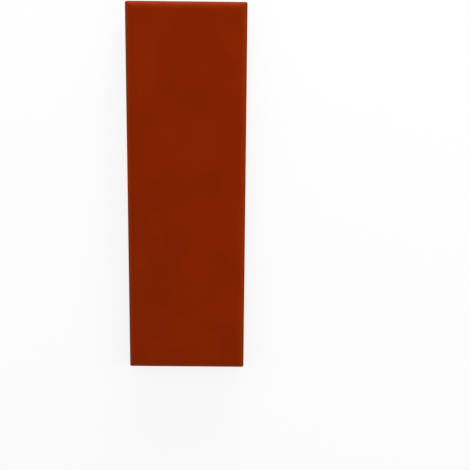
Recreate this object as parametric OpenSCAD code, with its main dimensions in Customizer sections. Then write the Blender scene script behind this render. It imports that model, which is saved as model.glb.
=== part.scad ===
// Rectangular ceramic tile, pressed and fired as one piece.
//
// The tile lies on its back: the face looks along +Z, the length runs along Y
// and the width along X. The origin is the middle of the plane that the ribs
// of the back stand on. Everything is in millimetres.

/* [Tile] */
// Length of the tile, end to end
tile_length = 200; // [100:5:300]
// Width of the tile, side to side
tile_width = 65; // [50:1:150]
// Thickness from the feet of the back ribs to the face
tile_thickness = 8; // [6:0.5:14]
// Radius of the four corners, seen from above
corner_r = 1; // [1:0.1:4]

/* [Face edge] */
// Width of the band along each edge over which the face rolls down
roll_w = 4; // [2:0.1:5]
// How far the face has come down where that band ends
roll_drop = 1.25; // [0.2:0.05:1.3]
// Radius of the small round between the rolled band and the side
arris_r = 0.9; // [0.4:0.1:1]

/* [Sides] */
// Height of the press line, where the sides are widest
press_line_h = 3.4; // [2.2:0.1:3.6]
// How far each side falls in below the press line
side_draft = 0.3; // [0:0.05:0.5]
// Bevel along the lower edge of the sides
back_bevel = 0.35; // [0.1:0.05:0.4]

/* [Back ribs] */
// Height of the ribs that key into the adhesive
rib_h = 0.8; // [0.4:0.1:1.2]
// Width of a rib at its foot
rib_w = 2.4; // [1.6:0.1:4]
// How much a rib widens from foot to root on each flank
rib_flare = 0.35; // [0.1:0.05:0.5]
// Plain ledge between the tile's edge and the foot of the outer rib
ledge_w = 4.6; // [3:0.1:10]
// Distance from rib to rib that the grid aims at
rib_pitch = 13.5; // [9:0.5:20]
// Corner radius of the cells between the ribs, at the feet
cell_r = 1.8; // [1:0.1:3]
// Corner radius of the outer rib, at the feet
outer_rib_r = 3; // [2:0.5:6]

/* [Hidden] */
$fn = 64;

cut = 0.2;                                  // how far a cutter runs past what it cuts

// The rolled band is one arc that starts level with the face.
roll_angle = 2 * atan(roll_drop / roll_w);
roll_r = roll_w / sin(roll_angle);
// The arris goes on from it, tangent, until it is upright.
arris_w = arris_r * (1 - sin(roll_angle));
arris_z = tile_thickness - roll_drop - arris_r * cos(roll_angle);

core = [tile_width - 2 * corner_r, tile_length - 2 * corner_r];
grid = [tile_width - 2 * ledge_w, tile_length - 2 * ledge_w];

// An even number of cells each way puts two ribs across the tile's middle.
cells = [for (span = grid) 2 * max(1, round((span - rib_w) / rib_pitch / 2))];
pitch = [for (i = [0, 1]) (grid[i] - rib_w) / cells[i]];

// Section of the slab from its edge inwards, as far as depth: x runs outwards
// from the corner's centre, y is the height above the feet.
module edge_section(depth) {
    roll_end = [corner_r - arris_w, tile_thickness - roll_drop];
    roll_start = roll_end + [-roll_w, roll_drop];
    arris_centre = [corner_r - arris_r, arris_z];
    level = [2 * arris_r, 0];
    outwards = 2 * arris_r * [sin(roll_angle), cos(roll_angle)];
    polygon([
        [-depth, rib_h],
        [corner_r - side_draft - back_bevel, rib_h],
        [corner_r - side_draft, rib_h + back_bevel],
        [corner_r, press_line_h],
        [corner_r, arris_z],
        arris_centre,
        roll_end,
        roll_start,
        [-depth, tile_thickness]
    ]);
    // The roll, between its chord and the two lines square to its ends.
    intersection() {
        translate(roll_start - [0, roll_r]) circle(roll_r, $fn = 200);
        polygon([roll_start, roll_end, roll_end + outwards, roll_start + [0, 2 * arris_r]]);
    }
    // The arris, from the last of those lines round to upright.
    intersection() {
        translate(arris_centre) circle(arris_r);
        polygon([
            arris_centre,
            arris_centre + level,
            arris_centre + level + outwards,
            roll_end + outwards,
            roll_end
        ]);
    }
}

// What of that section lies outside the corner's centre.
module rim_section() {
    intersection() {
        edge_section(roll_w);
        square([corner_r + cut, tile_thickness + cut]);
    }
}

// One straight side of the rim, with its outer face towards +X.
module rim_side(run) {
    rotate([90, 0, 0]) linear_extrude(run, center = true) rim_section();
}

// One corner of the rim, in the +X +Y quarter.
module rim_corner() {
    rotate_extrude(angle = 90) rim_section();
}

// A slab of any length with a rolled edge at each side, span apart.
module rolled_slab(span, run) {
    rotate([90, 0, 0]) linear_extrude(run + 2 * cut, center = true)
        for (side = [0, 1]) mirror([side, 0])
            translate([span / 2 - corner_r, 0]) edge_section(span / 2 - corner_r);
}

// The tile without its ribs. Inside the centres of its corners the rolled
// edges meet in mitres, and outside them they run round the corners.
module slab() {
    intersection() {
        translate([-core.x / 2, -core.y / 2, 0]) cube([core.x, core.y, tile_thickness + cut]);
        rolled_slab(tile_width, core.y);
        rotate(90) rolled_slab(tile_length, core.x);
    }
    for (turn = [0, 180]) rotate(turn) {
        translate([core.x / 2, 0, 0]) rim_side(core.y);
        translate([core.x / 2, core.y / 2, 0]) rim_corner();
        rotate(90) translate([core.y / 2, 0, 0]) rim_side(core.x);
        rotate(90) translate([core.y / 2, core.x / 2, 0]) rim_corner();
    }
}

// A rounded rectangle that measures size at height 0 and grows by flare on
// each flank over the height of a rib. It reaches from low to high.
module flared_pad(size, r, flare, low, high) {
    half = size / 2 - [r, r];
    low_r = r + flare * low / rib_h;
    high_r = r + flare * high / rib_h;
    for (i = [0, 1]) rotate(90 * i)
        rotate([90, 0, 0]) linear_extrude(2 * half[1 - i], center = true)
            polygon([
                [-half[i] - low_r, low],
                [half[i] + low_r, low],
                [half[i] + high_r, high],
                [-half[i] - high_r, high]
            ]);
    for (sx = [-1, 1], sy = [-1, 1])
        translate([sx * half.x, sy * half.y, low]) cylinder(high - low, low_r, high_r);
}

// The grid of ribs under the slab, closed by a rib all round.
module key_ribs() {
    difference() {
        flared_pad(grid, outer_rib_r, rib_flare, 0, rib_h);
        for (i = [0 : cells.x - 1], j = [0 : cells.y - 1])
            translate([(i + 0.5 - cells.x / 2) * pitch.x, (j + 0.5 - cells.y / 2) * pitch.y, 0])
                flared_pad(pitch - [rib_w, rib_w], cell_r, -rib_flare, -cut, rib_h + cut);
    }
}

module tile() {
    color([0.50, 0.13, 0.01]) {
        slab();
        key_ribs();
    }
}

tile();
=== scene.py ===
import math

import bmesh
import bpy
import numpy as np
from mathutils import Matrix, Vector, noise


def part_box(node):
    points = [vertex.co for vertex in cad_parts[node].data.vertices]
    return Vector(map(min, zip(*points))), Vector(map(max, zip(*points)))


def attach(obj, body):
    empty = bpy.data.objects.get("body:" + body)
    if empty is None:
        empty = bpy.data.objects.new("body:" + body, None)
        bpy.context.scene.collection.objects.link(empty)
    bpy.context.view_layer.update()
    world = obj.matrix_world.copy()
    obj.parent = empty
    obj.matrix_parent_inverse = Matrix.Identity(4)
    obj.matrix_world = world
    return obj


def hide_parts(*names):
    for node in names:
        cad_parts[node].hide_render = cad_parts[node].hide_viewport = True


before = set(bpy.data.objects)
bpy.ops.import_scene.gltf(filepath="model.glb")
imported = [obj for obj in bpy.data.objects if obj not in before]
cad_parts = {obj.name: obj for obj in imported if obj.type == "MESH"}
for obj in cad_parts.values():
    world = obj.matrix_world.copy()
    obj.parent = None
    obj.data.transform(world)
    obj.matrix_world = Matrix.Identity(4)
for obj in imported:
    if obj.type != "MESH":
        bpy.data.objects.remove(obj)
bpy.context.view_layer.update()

low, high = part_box("tile")

# ---------------------------------------------------------------- sizes, mm
MM = 0.001
HALF_X = (high.x - low.x) / 2 / MM
HALF_Y = (high.y - low.y) / 2 / MM
THICK = (high.z - low.z) / MM

# The forms of the CAD model, which the fired surface follows.
CORNER_R = 1.0
ROLL_W, ROLL_DROP = 4.0, 1.25
ARRIS_R = 0.9
PRESS_LINE, SIDE_DRAFT, BACK_BEVEL = 3.4, 0.3, 0.35
RIB_H, RIB_W, RIB_FLARE = 0.8, 2.4, 0.35
LEDGE_W = 4.6
CELLS_X, CELLS_Y = 4, 14
CELL_R, OUTER_RIB_R = 1.8, 3.0

ROLL_ANGLE = 2 * math.atan(ROLL_DROP / ROLL_W)
ROLL_R = ROLL_W / math.sin(ROLL_ANGLE)
ARRIS_W = ARRIS_R * (1 - math.sin(ROLL_ANGLE))
ARRIS_Z = THICK - ROLL_DROP - ARRIS_R * math.cos(ROLL_ANGLE)
FACE_INSET = ARRIS_W + ROLL_W            # where the flat of the face begins
GRID_INSET = LEDGE_W + RIB_W / 2         # the middle line of the outer rib

# What only the fired surface has.
MITRE_R = 0.45           # the glaze rounds the mitres of the rolled face
GLAZE_END = 3.7          # mean height at which the glaze stops on the sides
GLAZE_RAGGED = 0.45      # how far that line wanders up and down
GLAZE_THICK = 0.08       # the bare clay below it stands back by this much
GLAZE_STEP = 0.4         # and does so within this height
CLAY_BELOW = 1.0         # no glaze runs further down than this below that line
WAVE = 0.05              # how far in the surface wavers
WASH_H = 0.15            # how high kiln wash clings to the feet of the ribs

# Mesh density.
CELL_STEPS = 10          # edges along each side of one cell of the back
CORNER_STEPS = 3         # of them, those that turn half a corner
STEPS_X, STEPS_Y = CELLS_X * CELL_STEPS, CELLS_Y * CELL_STEPS
ROLL_STEPS, ARRIS_STEPS = 16, 9
SIDE_STEP = 0.3          # longest edge down the sides
SIDE_SOFT, RIB_SOFT = 0.15, 0.22   # how far each corner of a section is rounded
WELD = 0.001             # vertices this close are one

# Linear colours.
GLAZE_DEEP, GLAZE_PALE = (0.182, 0.0125, 0.0002), (0.222, 0.0162, 0.0004)
# Lighter and more orange on the rolled band: partly thinner glaze, partly a painted highlight.
GLAZE_THIN_AND_HIGHLIGHT = (0.245, 0.0250, 0.0012)     # more orange on the rolled band
# Painted shade along the arris: a darker brown.
GLAZE_PAINTED_SHADE = (0.105, 0.0105, 0.0018)    # browner on the arris
GLAZE_LIP = (0.36, 0.11, 0.045)          # paler at its lower edge
PIT = (0.10, 0.007, 0.0006)
CLAY_DEEP, CLAY_PALE = (0.31, 0.145, 0.080), (0.36, 0.180, 0.105)
CLAY_GRAIN = (0.44, 0.28, 0.19)
GROG = (0.30, 0.13, 0.07)
IRON = (0.07, 0.035, 0.025)
KILN_WASH = (0.78, 0.72, 0.66)
WHITE = (1.0, 1.0, 1.0, 1)
FLOOR_WHITE = (0.97, 0.965, 0.965, 1)    # as it is seen
FLOOR_GREY = (0.7, 0.7, 0.7, 1)          # as it lights the tile


# ---------------------------------------------------------------- sections
# A section is a list of (inset, height) in mm. The inset counts inwards from
# the outline that the section is swept round.
def arc(centre, radius, start, end, steps):
    """Points on an arc. Its angles are measured from upright, outwards."""
    return [(centre[0] - radius * math.sin(a), centre[1] + radius * math.cos(a))
            for a in np.linspace(start, end, steps + 1)]


def soften(points, reach, steps=4):
    """Makes each inner corner a curve that starts reach before it and ends reach after it."""
    points = [np.array(p, float) for p in points]
    out = [points[0]]
    for before, at, after in zip(points, points[1:], points[2:]):
        start = at + reach * (before - at) / np.linalg.norm(before - at)
        end = at + reach * (after - at) / np.linalg.norm(after - at)
        out += [(1 - t) ** 2 * start + 2 * t * (1 - t) * at + t ** 2 * end
                for t in np.linspace(0, 1, steps + 1)]
    return out + [points[-1]]


def divide(points, longest):
    """Adds points so that no stretch is longer than longest."""
    points = [np.array(p, float) for p in points]
    out = [points[0]]
    for a, b in zip(points, points[1:]):
        n = max(1, math.ceil(np.linalg.norm(b - a) / longest))
        out += [a + (b - a) * i / n for i in range(1, n + 1)]
    return out


def face_section():
    """From the flat of the face over the roll and the arris to the top of the side."""
    roll = arc((FACE_INSET, THICK - ROLL_R), ROLL_R, 0, ROLL_ANGLE, ROLL_STEPS)
    arris = arc((ARRIS_R, ARRIS_Z), ARRIS_R, ROLL_ANGLE, math.pi / 2, ARRIS_STEPS)
    return roll + arris[1:]


def side_section():
    """Down the side and round the bevel to the ledge, short of the root of the outer rib."""
    line = [(0, ARRIS_Z), (0, PRESS_LINE), (SIDE_DRAFT, RIB_H + BACK_BEVEL),
            (SIDE_DRAFT + BACK_BEVEL, RIB_H), (LEDGE_W - RIB_FLARE - 0.5, RIB_H)]
    return divide(soften(line, SIDE_SOFT, 3), SIDE_STEP)[1:]


def rib_section(foot, towards):
    """From the foot of a rib, whose flank starts at the inset foot, to the ground beside it."""
    root = foot + towards * RIB_FLARE
    line = [(foot - towards * 0.4, 0), (foot, 0), (root, RIB_H), (root + towards * 0.5, RIB_H)]
    return soften(line, RIB_SOFT)


# ------------------------------------------------------------------ surface
def ring(half_x, half_y, radius, steps_x, steps_y, form="round"):
    """Vertices round a rounded rectangle, anticlockwise from the middle of the -X -Y corner.

    The first and last CORNER_STEPS edges of each side turn half a corner. In a square ring they
    go straight on to the corner instead, and in an even one all edges of a side are alike.
    """
    turn = np.linspace(0, math.pi / 4, CORNER_STEPS + 1)[1:]
    past = radius * (np.sin(turn) if form == "round" else np.tan(turn))
    back = radius * (1 - np.cos(turn)) * (form == "round")
    sides = []
    for side in range(4):
        half, depth, steps = ((half_x, half_y, steps_x), (half_y, half_x, steps_y))[side % 2]
        straight = np.linspace(radius - half, half - radius, steps - 2 * CORNER_STEPS + 1)
        u = np.concatenate([straight[0] - past[::-1], straight, straight[-1] + past])
        v = np.concatenate([back[::-1], 0 * straight, back]) - depth
        if form == "even":
            u = np.linspace(-half, half, steps + 1)
        x, y = ((u, v), (-v, u), (-u, -v), (v, -u))[side]
        sides.append(np.column_stack([x, y])[:-1])
    return np.concatenate(sides)


def at_height(places, z):
    return np.column_stack([places, np.full(len(places), z)])


def band(rings, maps):
    """The quads between rings of equal length.

    They face outwards where a ring lies below the one before.
    """
    n = len(rings[0])
    here = np.arange(n)
    after = (here + 1) % n
    quads = [np.column_stack([here, here + n, after + n, after]) + i * n for i in range(len(rings) - 1)]
    return np.concatenate(rings), np.concatenate(quads), np.concatenate(maps)


def patch(outline, steps_x, steps_y, z, up):
    """A flat grid of quads that fills a square or even ring."""
    xs = outline[:steps_x + 1, 0]
    ys = outline[steps_x:steps_x + steps_y + 1, 1]
    places = np.array([(x, y) for y in ys for x in xs])
    first = np.array([j * len(xs) + i for j in range(steps_y) for i in range(steps_x)])
    quads = np.column_stack([first, first + 1, first + 1 + len(xs), first + len(xs)])
    return at_height(places, z), quads if up else quads[:, ::-1], places


def run(section):
    """How far along a section each of its points lies."""
    return np.cumsum([0] + [math.dist(a, b) for a, b in zip(section, section[1:])])


def corner_radius(inset, z):
    """The tile's own radius above; below, it grows to that of the outer rib."""
    if z >= ARRIS_Z:
        return max(CORNER_R - inset, MITRE_R)
    bevel = SIDE_DRAFT + BACK_BEVEL
    insets = (0, bevel, LEDGE_W - RIB_FLARE, LEDGE_W, GRID_INSET)
    radii = (CORNER_R, CORNER_R - bevel, OUTER_RIB_R + RIB_FLARE, OUTER_RIB_R, OUTER_RIB_R - RIB_W / 2)
    return np.interp(inset, insets, radii)


def outer_skin():
    """Face, rolled edges, sides and ledge, as far as the middle line of the outer rib."""
    def around(inset, radius, form):
        return ring(HALF_X - inset, HALF_Y - inset, radius, STEPS_X, STEPS_Y, form)

    section = face_section() + side_section() + rib_section(LEDGE_W, -1)[-2::-1] + [(GRID_INSET, 0)]
    forms = ["square"] + ["round"] * (len(section) - 2) + ["even"]
    radii = [corner_radius(*point) for point in section]
    rings = [at_height(around(d, r, form), z) for (d, z), r, form in zip(section, radii, forms)]
    maps = [around(FACE_INSET - s, r, form) for s, r, form in zip(run(section), radii, forms)]
    return [patch(rings[0][:, :2], STEPS_X, STEPS_Y, THICK, True), band(rings, maps)]


def back_cells():
    """Each cell of the back, with half of the ribs round it."""
    half_x = (HALF_X - GRID_INSET) / CELLS_X
    half_y = (HALF_Y - GRID_INSET) / CELLS_Y
    foot = RIB_W / 2
    section = [(0, 0)] + rib_section(foot, 1)
    floor_inset = section[-1][0] + 0.3
    section += [(floor_inset, RIB_H)]
    forms = ["even"] + ["round"] * (len(section) - 2) + ["square"]
    laid_out = run(section) * floor_inset / run(section)[-1]

    def around(inset, form):
        return ring(half_x - inset, half_y - inset, CELL_R + foot - inset, CELL_STEPS, CELL_STEPS, form)

    rings = [at_height(around(d, form), z) for (d, z), form in zip(section, forms)]
    maps = [around(d, form) for d, form in zip(laid_out, forms)]
    cell = [band(rings, maps), patch(maps[-1], CELL_STEPS, CELL_STEPS, RIB_H, False)]
    for i in range(CELLS_X):
        for j in range(CELLS_Y):
            centre = np.array(((2 * i + 1 - CELLS_X) * half_x, (2 * j + 1 - CELLS_Y) * half_y, 0))
            for places, quads, laid in cell:
                yield places + centre, quads, (laid + centre[:2]) * (-1, 1)


def joined(sheets, name):
    """One mesh, in mm, of parts whose edges meet.

    The parts of each sheet lie flat together in the UV map, and the sheets side by side.
    """
    gap = 1.0
    spans = [np.ptp(np.concatenate([laid for _, _, laid in parts]), axis=0) + 2 * gap
             for parts in sheets]
    whole = np.array([sum(s[0] for s in spans), max(s[1] for s in spans)])
    bm = bmesh.new()
    uv = bm.loops.layers.uv.new("OFBake")
    start = 0.0
    for parts, span in zip(sheets, spans):
        middle = np.array([start + span[0] / 2, whole[1] / 2])
        start += span[0]
        for places, quads, laid in parts:
            verts = [bm.verts.new(p) for p in places]
            for quad in quads:
                face = bm.faces.new([verts[i] for i in quad])
                for loop, i in zip(face.loops, quad):
                    loop[uv].uv = (laid[i] + middle) / whole
    bmesh.ops.remove_doubles(bm, verts=bm.verts, dist=WELD)
    mesh = bpy.data.meshes.new(name)
    bm.to_mesh(mesh)
    bm.free()
    return mesh


# ------------------------------------------------------------- fired surface
def waves(places, size, seed):
    """Smooth noise from -1 to 1 at each place, with hills about size apart."""
    shift = Vector((seed * 37.0, seed * 11.0, seed * 5.0))
    return np.clip([noise.noise(Vector(p) / size + shift) for p in places], -1, 1)


def store(mesh, name, values):
    """Keeps one number per vertex for the materials to read."""
    mesh.attributes.new(name, "FLOAT", "POINT").data.foreach_set("value", values.astype(np.float32))


def fire(mesh):
    """Gives the exact form the unevenness of a pressed and fired tile. Nothing moves outwards.

    glaze_line is the height above the line where the glaze stops, roll grows down the rolled band
    and is less on the sides and places thinner glaze with a painted highlight, edge is the arris and
    places painted shade, and foot is what stands on the kiln's rollers.
    """
    places = np.array([v.co for v in mesh.vertices])
    normals = np.array([n.vector for n in mesh.vertex_normals])
    flat = places * (1, 1, 0)
    z = places[:, 2]
    glaze_line = z - GLAZE_END - GLAZE_RAGGED * (0.7 * waves(flat, 11, 1) + 0.3 * waves(flat, 3, 2))
    bare = np.clip(-glaze_line / GLAZE_STEP, 0, 1) * np.clip((z - RIB_H) / BACK_BEVEL, 0, 1)
    uneven = 0.5 + 0.4 * waves(places, 28, 3) + 0.1 * waves(places, 6, 4)
    places -= normals * (WAVE * uneven + GLAZE_THICK * bare)[:, None]
    mesh.vertices.foreach_set("co", (places * MM).ravel())
    store(mesh, "glaze_line", glaze_line)
    roll_end = THICK - ROLL_DROP
    store(mesh, "roll", np.interp(z, (ARRIS_Z, roll_end, THICK - 0.15), (0.4, 1, 0)))
    arris = (ARRIS_Z - 0.3, ARRIS_Z + 0.2, roll_end, roll_end + 0.35)
    store(mesh, "edge", np.interp(z, arris, (0, 1, 1, 0)))
    store(mesh, "foot", np.interp(z, (0, WASH_H), (1, 0)))
    for face in mesh.polygons:
        face.use_smooth = True
        face.material_index = int(max(glaze_line[v] for v in face.vertices) < -CLAY_BELOW)
    mesh.update()


# ---------------------------------------------------------------- materials
def add(tree, kind, inputs=None, **settings):
    """Adds a shader node. An input is a number, a colour or another node's output."""
    node = tree.nodes.new("ShaderNode" + kind)
    for key, value in settings.items():
        setattr(node, key, value)
    for key, value in (inputs or {}).items():
        if isinstance(value, bpy.types.NodeSocket):
            tree.links.new(value, node.inputs[key])
        else:
            node.inputs[key].default_value = value
    return node


def cloud(tree, place, size, detail=2.0):
    """Noise from 0 to 1 with features about size mm apart."""
    inputs = {"Vector": place, "Scale": 1 / (size * MM), "Detail": detail}
    return add(tree, "TexNoise", inputs).outputs["Fac"]


def dots(tree, place, spacing, radius):
    """1 inside round dots of that radius about spacing apart, in mm, and 0 between them."""
    cells = add(tree, "TexVoronoi", {"Vector": place, "Scale": 1 / (spacing * MM)})
    edge = radius / spacing
    return fade(tree, cells.outputs["Distance"], (1.2 * edge, 0.7 * edge))


def fade(tree, value, across, into=(0, 1)):
    """Takes value smoothly from one range to the other, and no further."""
    inputs = {"Value": value, "From Min": across[0], "From Max": across[1],
              "To Min": into[0], "To Max": into[1]}
    return add(tree, "MapRange", inputs, interpolation_type="SMOOTHSTEP").outputs["Result"]


def sums(tree, *terms):
    """Adds up (output, factor) pairs."""
    total = 0.0
    for value, factor in terms:
        total = add(tree, "Math", {0: value, 1: factor, 2: total}, operation="MULTIPLY_ADD").outputs[0]
    return total


def times(tree, a, b):
    return add(tree, "Math", {0: a, 1: b}, operation="MULTIPLY").outputs[0]


def blend(tree, amount, a, b):
    """From colour or number a to b."""
    if isinstance(a, tuple) or isinstance(b, tuple) or getattr(a, "type", "") == "RGBA":
        a, b = [(*c, 1) if isinstance(c, tuple) else c for c in (a, b)]
        return add(tree, "Mix", {0: amount, 6: a, 7: b}, data_type="RGBA").outputs[2]
    return add(tree, "Mix", {0: amount, 2: a, 3: b}).outputs[0]


def stored(tree, name):
    return add(tree, "Attribute", attribute_name=name).outputs["Fac"]


def clay(tree, place):
    """Colour, roughness and relief in mm of the bare fired clay."""
    patches = fade(tree, cloud(tree, place, 14), (0.35, 0.65))
    colour = blend(tree, patches, CLAY_DEEP, CLAY_PALE)
    grain = cloud(tree, place, 0.7, 4)
    colour = blend(tree, fade(tree, grain, (0.45, 0.75), (0, 0.45)), colour, CLAY_GRAIN)
    grog = dots(tree, place, 2.6, 0.28)
    colour = blend(tree, times(tree, grog, 0.55), colour, GROG)
    iron = dots(tree, place, 8.5, 0.33)
    colour = blend(tree, times(tree, iron, 0.85), colour, IRON)
    # Kiln wash comes off the rollers on to the feet, in patches.
    wash = times(tree, stored(tree, "foot"), fade(tree, cloud(tree, place, 5, 4), (0.38, 0.6)))
    colour = blend(tree, times(tree, wash, 0.75), colour, KILN_WASH)
    dents = cloud(tree, place, 3)
    relief = sums(tree, (grain, 0.05), (dents, 0.06), (iron, -0.04), (grog, 0.015))
    return colour, fade(tree, grain, (0.3, 0.7), (0.84, 0.94)), relief


def glaze(tree, place):
    """Colour, roughness and relief in mm of the matte glaze."""
    pool = fade(tree, cloud(tree, place, 24), (0.3, 0.7))
    mottle = cloud(tree, place, 1.6, 3)
    grain = fade(tree, cloud(tree, place, 0.5, 2), (0.3, 0.7))
    tone = sums(tree, (pool, 0.6), (mottle, 0.8), (grain, 0.4), (1.0, -0.4))
    colour = blend(tree, tone, GLAZE_DEEP, GLAZE_PALE)
    # From the rolled band outwards the glaze is lighter and more orange: partly thinner glaze, partly a
    # painted highlight.
    colour = blend(tree, stored(tree, "roll"), colour, GLAZE_THIN_AND_HIGHLIGHT)
    # Over the arris it is darker and browner, in patches: painted shade.
    patches = fade(tree, cloud(tree, place, 7, 3), (0.3, 0.7), (0.55, 0.85))
    painted_arris_shade = times(tree, stored(tree, "edge"), patches)
    colour = blend(tree, painted_arris_shade, colour, GLAZE_PAINTED_SHADE)
    pits = dots(tree, place, 7.5, 0.16)
    colour = blend(tree, times(tree, pits, 0.4), colour, PIT)
    rough = sums(tree, (mottle, 0.14), (pool, 0.05), (painted_arris_shade, 0.08), (1.0, 0.50))
    ripple = cloud(tree, place, 1.3)
    relief = sums(tree, (ripple, 0.028), (grain, 0.007), (pits, -0.02))
    return colour, rough, relief


def glaze_cover(tree, place):
    """Height in mm above the ragged edge of the glaze, and 1 where glaze covers the clay."""
    ragged = cloud(tree, place, 1.1, 4)
    line = sums(tree, (stored(tree, "glaze_line"), 1.0), (ragged, 0.7), (1.0, -0.35))
    # A few specks of it lie below that edge.
    specks = sums(tree, (cloud(tree, place, 0.9, 3), 1.0), (line, 0.12))
    specks = fade(tree, specks, (0.60, 0.64), (0, 0.8))
    above = fade(tree, line, (-0.05, 0.08))
    cover = add(tree, "Math", {0: above, 1: specks}, operation="MAXIMUM").outputs[0]
    return line, cover


def fired_material(name, glazed):
    """The bare clay, or the glaze with the clay that shows below its ragged lower edge."""
    material = bpy.data.materials.new(name)
    material.use_nodes = True
    tree = material.node_tree
    shader = tree.nodes["Principled BSDF"]
    place = add(tree, "TexCoord").outputs["Object"]
    colour, rough, relief = clay(tree, place)
    shader.inputs["Specular IOR Level"].default_value = 0.3
    if glazed:
        line, cover = glaze_cover(tree, place)
        glaze_colour, glaze_rough, glaze_relief = glaze(tree, place)
        lip = fade(tree, line, (1.0, 0.0), (0, 0.55))
        glaze_colour = blend(tree, lip, glaze_colour, GLAZE_LIP)
        colour = blend(tree, cover, colour, glaze_colour)
        rough = blend(tree, cover, rough, glaze_rough)
        relief = blend(tree, cover, relief, glaze_relief)
        shader.inputs["Specular IOR Level"].default_value = 0.15
        shader.inputs["Specular Tint"].default_value = (1.0, 0.22, 0.04, 1)
    bump = add(tree, "Bump", {"Height": relief, "Distance": MM, "Strength": 1.0})
    tree.links.new(colour, shader.inputs["Base Color"])
    tree.links.new(rough, shader.inputs["Roughness"])
    tree.links.new(bump.outputs["Normal"], shader.inputs["Normal"])
    return material


# --------------------------------------------------------------- the object
def add_object(name, data):
    thing = bpy.data.objects.new(name, data)
    bpy.context.scene.collection.objects.link(thing)
    return thing


body = joined([outer_skin(), list(back_cells())], "fired_tile")
fire(body)
body.materials.append(fired_material("matte_glaze", True))
body.materials.append(fired_material("bare_clay", False))
tile = add_object("fired_tile", body)
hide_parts("tile")
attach(tile, "root")


# ------------------------------------------------------------------- studio
WORLD_LIGHT = 0.45
# Lamps: watts, size and place in metres, and whether the glaze mirrors them. The low ones along the
# sides light only what is tilted towards them.
LAMPS = {
    "top": (2.85, (0.7, 0.7), (0.0, 0.07, 0.9), True),
    "key": (10.5, (0.8, 0.15), (0.1, 0.75, 0.07), False),
    "right": (2.4, (0.15, 0.8), (0.75, 0.0, 0.07), False),
    "left": (1.4, (0.15, 0.8), (-0.75, 0.0, 0.07), False),
}
CAMERA_LENS = 33.7
CAMERA_CLIP = 0.005
CAMERA_PLACE = (0.0264, 0.00037, 0.24195)    # in metres, from the middle of the face
CAMERA_TURN = (-5.70, -0.075, 0.53)          # in degrees


def seen_directly(tree):
    """1 for the rays that show a background: the camera's, and those off gloss and through glass."""
    path = add(tree, "LightPath").outputs
    rays = ("Is Camera Ray", "Is Glossy Ray", "Is Transmission Ray")
    return sums(tree, *((path[ray], 1.0) for ray in rays))


def beyond_tile(tree, place):
    """0 under the tile, and 1 on the floor outside its outline."""
    across = add(tree, "VectorMath", {0: place}, operation="ABSOLUTE").outputs[0]
    half = (HALF_X * MM, HALF_Y * MM, 0)
    past = add(tree, "VectorMath", {0: across, 1: half}, operation="SUBTRACT").outputs[0]
    past = add(tree, "SeparateXYZ", {0: past}).outputs
    furthest = add(tree, "Math", {0: past["X"], 1: past["Y"]}, operation="MAXIMUM").outputs[0]
    return fade(tree, furthest, (-MM, 0.0))


def studio_floor():
    """A white floor that fades into the background.

    It glows only where it is seen directly, and not under the tile, so the gap there is dark.
    """
    mesh = bpy.data.meshes.new("floor")
    half = 6.0
    corners = [(-half, -half, 0), (half, -half, 0), (half, half, 0), (-half, half, 0)]
    mesh.from_pydata(corners, [], [(0, 1, 2, 3)])
    material = bpy.data.materials.new("floor")
    material.use_nodes = True
    tree = material.node_tree
    tree.nodes.clear()
    grey = add(tree, "BsdfDiffuse", {"Color": FLOOR_GREY}).outputs[0]
    white = add(tree, "BsdfDiffuse", {"Color": FLOOR_WHITE}).outputs[0]
    glow = add(tree, "Emission", {"Color": WHITE, "Strength": 1.0}).outputs[0]
    place = add(tree, "TexCoord").outputs["Object"]
    away = add(tree, "VectorMath", {0: place}, operation="LENGTH").outputs["Value"]
    glowing = times(tree, beyond_tile(tree, place), fade(tree, away, (0.15, 0.9), (0.7, 1.0)))
    pale = add(tree, "MixShader", {0: glowing, 1: white, 2: glow}).outputs[0]
    shown = add(tree, "MixShader", {0: seen_directly(tree), 1: grey, 2: pale}).outputs[0]
    add(tree, "OutputMaterial", {"Surface": shown})
    mesh.materials.append(material)
    floor = add_object("floor", mesh)


def studio_world():
    """White where it is seen directly, and dimmer as a light."""
    world = bpy.data.worlds.new("world")
    bpy.context.scene.world = world
    world.use_nodes = True
    tree = world.node_tree
    background = tree.nodes["Background"]
    background.inputs["Color"].default_value = WHITE
    strength = fade(tree, seen_directly(tree), (0, 1), (WORLD_LIGHT, 1.0))
    tree.links.new(strength, background.inputs["Strength"])


def lamp(name, power, size, place, glossy):
    """A soft lamp that looks at the tile."""
    data = bpy.data.lights.new(name, "AREA")
    data.shape = "RECTANGLE"
    data.size, data.size_y = size
    data.energy = power
    thing = add_object(name, data)
    thing.location = place
    thing.rotation_euler = (-Vector(place)).to_track_quat("-Z", "Y").to_euler()
    thing.visible_camera = False
    thing.visible_glossy = glossy


studio_floor()
studio_world()
for name, settings in LAMPS.items():
    lamp(name, *settings)

camera_data = bpy.data.cameras.new("camera")
camera_data.lens = CAMERA_LENS
camera_data.clip_start = CAMERA_CLIP
camera = add_object("camera", camera_data)
face_middle = ((low.x + high.x) / 2, (low.y + high.y) / 2, high.z)
camera.location = [middle + offset for middle, offset in zip(face_middle, CAMERA_PLACE)]
camera.rotation_euler = [math.radians(angle) for angle in CAMERA_TURN]
bpy.context.scene.camera = camera
bpy.context.scene.view_settings.view_transform = "Standard"
